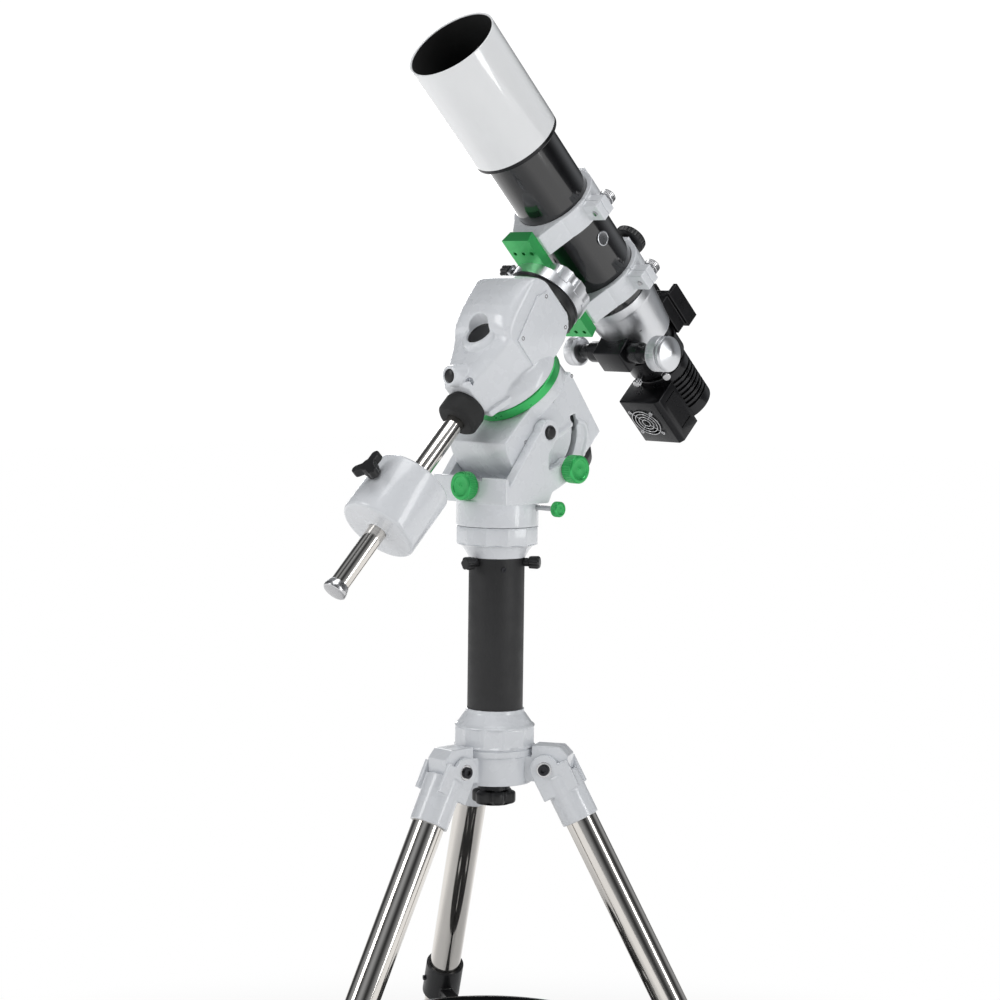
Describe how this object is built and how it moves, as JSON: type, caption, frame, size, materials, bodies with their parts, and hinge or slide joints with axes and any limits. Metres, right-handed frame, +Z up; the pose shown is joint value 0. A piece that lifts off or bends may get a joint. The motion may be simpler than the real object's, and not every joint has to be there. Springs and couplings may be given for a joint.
{
  "type": "telescope on tripod",
  "caption": "Small white refractor with a cooled camera on an equatorial mount with counterweight, black pier and chromed tripod.",
  "frame": {"origin": "on the vertical azimuth axis, at floor level", "axes": "+Z up, -Y to the side that the telescope and the polar axis point to, +X to the right when facing +Y"},
  "size_m": [0.7532, 0.7861, 1.4987],
  "materials": {
    "white_casting": "gloss powder coat",
    "black_steel": "black oxide",
    "black_plastic": "satin moulded",
    "chrome_steel": "polished",
    "black_paint": "fine texture, matt",
    "green_anodised": "anodised, satin",
    "machined_steel": "machined",
    "satin_aluminium": "bead blasted, satin",
    "black_gloss": "high gloss",
    "black_anodised": "anodised, satin"
  },
  "bodies": {
    "stand": {"tripod_hub": "white_casting", "tripod_bolts": "black_steel", "pier_flanges": "white_casting", "pier_tube": "black_paint"},
    "centre_knob": {"pier_knob": "black_plastic"},
    "leg_1": {"leg_upper_1": "white_casting", "leg_clamp_1": "black_plastic"},
    "lower_leg_1": {"leg_lower_1": "chrome_steel"},
    "leg_lock_1": {"leg_knob_1": "black_plastic"},
    "leg_2": {"leg_upper_2": "white_casting", "leg_clamp_2": "black_plastic"},
    "lower_leg_2": {"leg_lower_2": "chrome_steel"},
    "leg_lock_2": {"leg_knob_2": "black_plastic"},
    "leg_3": {"leg_upper_3": "white_casting", "leg_clamp_3": "black_plastic"},
    "lower_leg_3": {"leg_lower_3": "chrome_steel"},
    "leg_lock_3": {"leg_knob_3": "black_plastic"},
    "tray": {"tray": "black_plastic"},
    "pier_screw_1": {"pier_screw_1": "black_plastic"},
    "pier_screw_2": {"pier_screw_2": "black_plastic"},
    "pier_screw_3": {"pier_screw_3": "black_plastic"},
    "azimuth": {"azimuth_base": "white_casting", "altitude_pin": "black_steel"},
    "azimuth_bolt_west": {"azimuth_bolt_west": "green_anodised"},
    "azimuth_bolt_east": {"azimuth_bolt_east": "green_anodised"},
    "altitude_lock": {"altitude_lock_knob": "green_anodised"},
    "altitude_adjuster": {"altitude_adjust_knob": "green_anodised"},
    "polar_body": {"polar_housing": "white_casting", "polar_drive": "machined_steel", "polar_cap": "black_plastic"},
    "head": {"polar_ring": "green_anodised", "polar_shaft": "machined_steel", "head_casting": "white_casting", "side_covers": "white_casting", "head_plugs": "black_plastic", "dec_drive": "machined_steel"},
    "declination": {"dec_shaft": "machined_steel", "saddle": "satin_aluminium", "counterweight_shaft": "chrome_steel"},
    "shaft_lock": {"shaft_collar": "black_plastic"},
    "weight": {"counterweight": "white_casting"},
    "weight_knob": {"counterweight_knob": "black_plastic"},
    "jaw": {"saddle_jaw": "satin_aluminium"},
    "clamp_knob_1": {"clamp_knob_1": "black_plastic"},
    "clamp_knob_2": {"clamp_knob_2": "black_plastic"},
    "telescope": {"dovetail_bar": "green_anodised", "tube_rings": "white_casting", "tube": "black_gloss", "objective": "black_anodised", "focuser_body": "satin_aluminium", "finder_shoe": "black_anodised"},
    "ring_screw_front": {"ring_screw_front": "satin_aluminium"},
    "ring_screw_rear": {"ring_screw_rear": "satin_aluminium"},
    "camera_screw": {"camera_screw": "black_plastic"},
    "dew_shield": {"dew_shield": "white_casting"},
    "drawtube": {"drawtube": "black_anodised"},
    "focus_knobs": {"focus_knobs": "satin_aluminium"},
    "fine_knob": {"fine_knob": "satin_aluminium"},
    "camera": {"camera_body": "black_anodised"},
    "fan": {"fan": "black_plastic"}
  },
  "joints": [
    {"name": "centre_knob_turn", "type": "hinge", "parent": "stand", "child": "centre_knob", "pos_m": [0, 0, 0.6], "axis": [0, 0, -1], "range_deg": [0, 720]},
    {"name": "leg_1_fold", "type": "hinge", "parent": "stand", "child": "leg_1", "pos_m": [0, -0.0655, 0.6335], "axis": [1, 0, 0], "range_deg": [0, 10]},
    {"name": "leg_1_extend", "type": "slide", "parent": "leg_1", "child": "lower_leg_1", "axis": [0, -0.4679, -0.8838], "range_m": [0, 0.25]},
    {"name": "leg_lock_1_turn", "type": "hinge", "parent": "leg_1", "child": "leg_lock_1", "pos_m": [0, -0.34456, 0.12268], "axis": [0, -0.8838, 0.4679], "range_deg": [0, 360]},
    {"name": "leg_2_fold", "type": "hinge", "parent": "stand", "child": "leg_2", "pos_m": [0.05672, 0.03275, 0.6335], "axis": [-0.5, 0.866, 0], "range_deg": [0, 10]},
    {"name": "leg_2_extend", "type": "slide", "parent": "leg_2", "child": "lower_leg_2", "axis": [0.4052, 0.234, -0.8838], "range_m": [0, 0.25]},
    {"name": "leg_lock_2_turn", "type": "hinge", "parent": "leg_2", "child": "leg_lock_2", "pos_m": [0.2984, 0.17228, 0.12268], "axis": [0.7654, 0.4419, 0.4679], "range_deg": [0, 360]},
    {"name": "leg_3_fold", "type": "hinge", "parent": "stand", "child": "leg_3", "pos_m": [-0.05672, 0.03275, 0.6335], "axis": [-0.5, -0.866, 0], "range_deg": [0, 10]},
    {"name": "leg_3_extend", "type": "slide", "parent": "leg_3", "child": "lower_leg_3", "axis": [-0.4052, 0.234, -0.8838], "range_m": [0, 0.25]},
    {"name": "leg_lock_3_turn", "type": "hinge", "parent": "leg_3", "child": "leg_lock_3", "pos_m": [-0.2984, 0.17228, 0.12268], "axis": [-0.7654, 0.4419, 0.4679], "range_deg": [0, 360]},
    {"name": "tray_follow", "type": "slide", "parent": "stand", "child": "tray", "axis": [0, 0, 1], "range_m": [-0.0035, 0]},
    {"name": "pier_screw_1_turn", "type": "hinge", "parent": "stand", "child": "pier_screw_1", "pos_m": [0, -0.045, 0.872], "axis": [0, -1, 0], "range_deg": [0, 720]},
    {"name": "pier_screw_2_turn", "type": "hinge", "parent": "stand", "child": "pier_screw_2", "pos_m": [0.03897, 0.0225, 0.872], "axis": [0.866, 0.5, 0], "range_deg": [0, 720]},
    {"name": "pier_screw_3_turn", "type": "hinge", "parent": "stand", "child": "pier_screw_3", "pos_m": [-0.03897, 0.0225, 0.872], "axis": [-0.866, 0.5, 0], "range_deg": [0, 720]},
    {"name": "azimuth", "type": "hinge", "parent": "stand", "child": "azimuth", "pos_m": [0, 0, 0.93], "axis": [0, 0, 1], "range_deg": [-5, 5]},
    {"name": "azimuth_bolt_west_turn", "type": "hinge", "parent": "azimuth", "child": "azimuth_bolt_west", "pos_m": [0.06, 0.0215, 0.9363], "axis": [1, 0, 0], "range_deg": [-720, 720]},
    {"name": "azimuth_bolt_east_turn", "type": "hinge", "parent": "azimuth", "child": "azimuth_bolt_east", "pos_m": [-0.06, 0.0215, 0.9363], "axis": [-1, 0, 0], "range_deg": [-720, 720]},
    {"name": "altitude_lock_turn", "type": "hinge", "parent": "azimuth", "child": "altitude_lock", "pos_m": [0.068, 0.0586, 0.9804], "axis": [1, 0, 0], "range_deg": [0, 360]},
    {"name": "altitude_adjust_turn", "type": "hinge", "parent": "azimuth", "child": "altitude_adjuster", "pos_m": [0, -0.054, 0.9619], "axis": [0, -1, 0], "range_deg": [-440, 440]},
    {"name": "altitude", "type": "hinge", "parent": "azimuth", "child": "polar_body", "pos_m": [0, 0.0246, 1.0234], "axis": [1, 0, 0], "range_deg": [-20, 15]},
    {"name": "right_ascension", "type": "hinge", "parent": "polar_body", "child": "head", "pos_m": [0, 0, 1.1044], "axis": [0, -0.7071, 0.7071], "range_deg": [-110, 110]},
    {"name": "declination", "type": "hinge", "parent": "head", "child": "declination", "pos_m": [0, 0, 1.1044], "axis": [0, 0.7071, 0.7071], "continuous": true},
    {"name": "shaft_lock_turn", "type": "hinge", "parent": "declination", "child": "shaft_lock", "pos_m": [0, -0.0594, 1.045], "axis": [0, -0.7071, -0.7071], "range_deg": [0, 90]},
    {"name": "weight_slide", "type": "slide", "parent": "declination", "child": "weight", "axis": [0, 0.7071, 0.7071], "range_m": [-0.06, 0.04]},
    {"name": "weight_knob_turn", "type": "hinge", "parent": "weight", "child": "weight_knob", "pos_m": [0, -0.19658, 0.98561], "axis": [0, -0.7071, 0.7071], "range_deg": [0, 360]},
    {"name": "jaw_slide", "type": "slide", "parent": "declination", "child": "jaw", "axis": [-1, 0, 0], "range_m": [0, 0.002]},
    {"name": "clamp_knob_1_turn", "type": "hinge", "parent": "declination", "child": "clamp_knob_1", "pos_m": [-0.055, 0.06647, 1.20764], "axis": [-1, 0, 0], "range_deg": [0, 573]},
    {"name": "clamp_knob_2_turn", "type": "hinge", "parent": "declination", "child": "clamp_knob_2", "pos_m": [-0.055, 0.10324, 1.17087], "axis": [-1, 0, 0], "range_deg": [0, 573]},
    {"name": "bar_slide", "type": "slide", "parent": "declination", "child": "telescope", "axis": [0, -0.7071, 0.7071], "range_m": [-0.009, 0.012]},
    {"name": "ring_screw_front_turn", "type": "hinge", "parent": "telescope", "child": "ring_screw_front", "pos_m": [0.066, 0.10571, 1.29355], "axis": [0, 0.7071, 0.7071], "range_deg": [0, 360]},
    {"name": "ring_screw_rear_turn", "type": "hinge", "parent": "telescope", "child": "ring_screw_rear", "pos_m": [0.066, 0.18491, 1.21436], "axis": [0, 0.7071, 0.7071], "range_deg": [0, 360]},
    {"name": "camera_screw_turn", "type": "hinge", "parent": "telescope", "child": "camera_screw", "pos_m": [0, 0.21673, 1.24618], "axis": [0, 0.7071, 0.7071], "range_deg": [0, 360]},
    {"name": "dew_shield_slide", "type": "slide", "parent": "telescope", "child": "dew_shield", "axis": [0, 0.7071, -0.7071], "range_m": [0, 0.08]},
    {"name": "focus", "type": "slide", "parent": "telescope", "child": "drawtube", "axis": [0, 0.7071, -0.7071], "range_m": [0, 0.06]},
    {"name": "focus_knobs_turn", "type": "hinge", "parent": "telescope", "child": "focus_knobs", "pos_m": [0, 0.20223, 1.11288], "axis": [1, 0, 0], "range_deg": [-360, 0]},
    {"name": "fine_knob_turn", "type": "hinge", "parent": "telescope", "child": "fine_knob", "pos_m": [0.08, 0.20223, 1.11288], "axis": [1, 0, 0], "range_deg": [-3600, 0]},
    {"name": "camera_turn", "type": "hinge", "parent": "drawtube", "child": "camera", "pos_m": [0, 0.29946, 1.07859], "axis": [0, -0.7071, 0.7071], "continuous": true},
    {"name": "fan_spin", "type": "hinge", "parent": "camera", "child": "fan", "pos_m": [-0.005, 0.26516, 1.02874], "axis": [0, 0.7071, 0.7071], "continuous": true}
  ],
  "couplings": [
    {"joint": "leg_2_fold", "follows": "leg_1_fold", "ratio": 1},
    {"joint": "leg_3_fold", "follows": "leg_1_fold", "ratio": 1},
    {"joint": "tray_follow", "follows": "leg_1_fold", "m_per_rad": -0.018},
    {"joint": "azimuth_bolt_west_turn", "follows": "azimuth", "ratio": -140},
    {"joint": "azimuth_bolt_east_turn", "follows": "azimuth", "ratio": 140},
    {"joint": "altitude_adjust_turn", "follows": "altitude", "ratio": 20},
    {"joint": "clamp_knob_1_turn", "follows": "jaw_slide", "rad_per_m": 5000},
    {"joint": "clamp_knob_2_turn", "follows": "jaw_slide", "rad_per_m": 5000},
    {"joint": "focus_knobs_turn", "follows": "focus", "rad_per_m": -97},
    {"joint": "fine_knob_turn", "follows": "focus", "rad_per_m": -970}
  ]
}
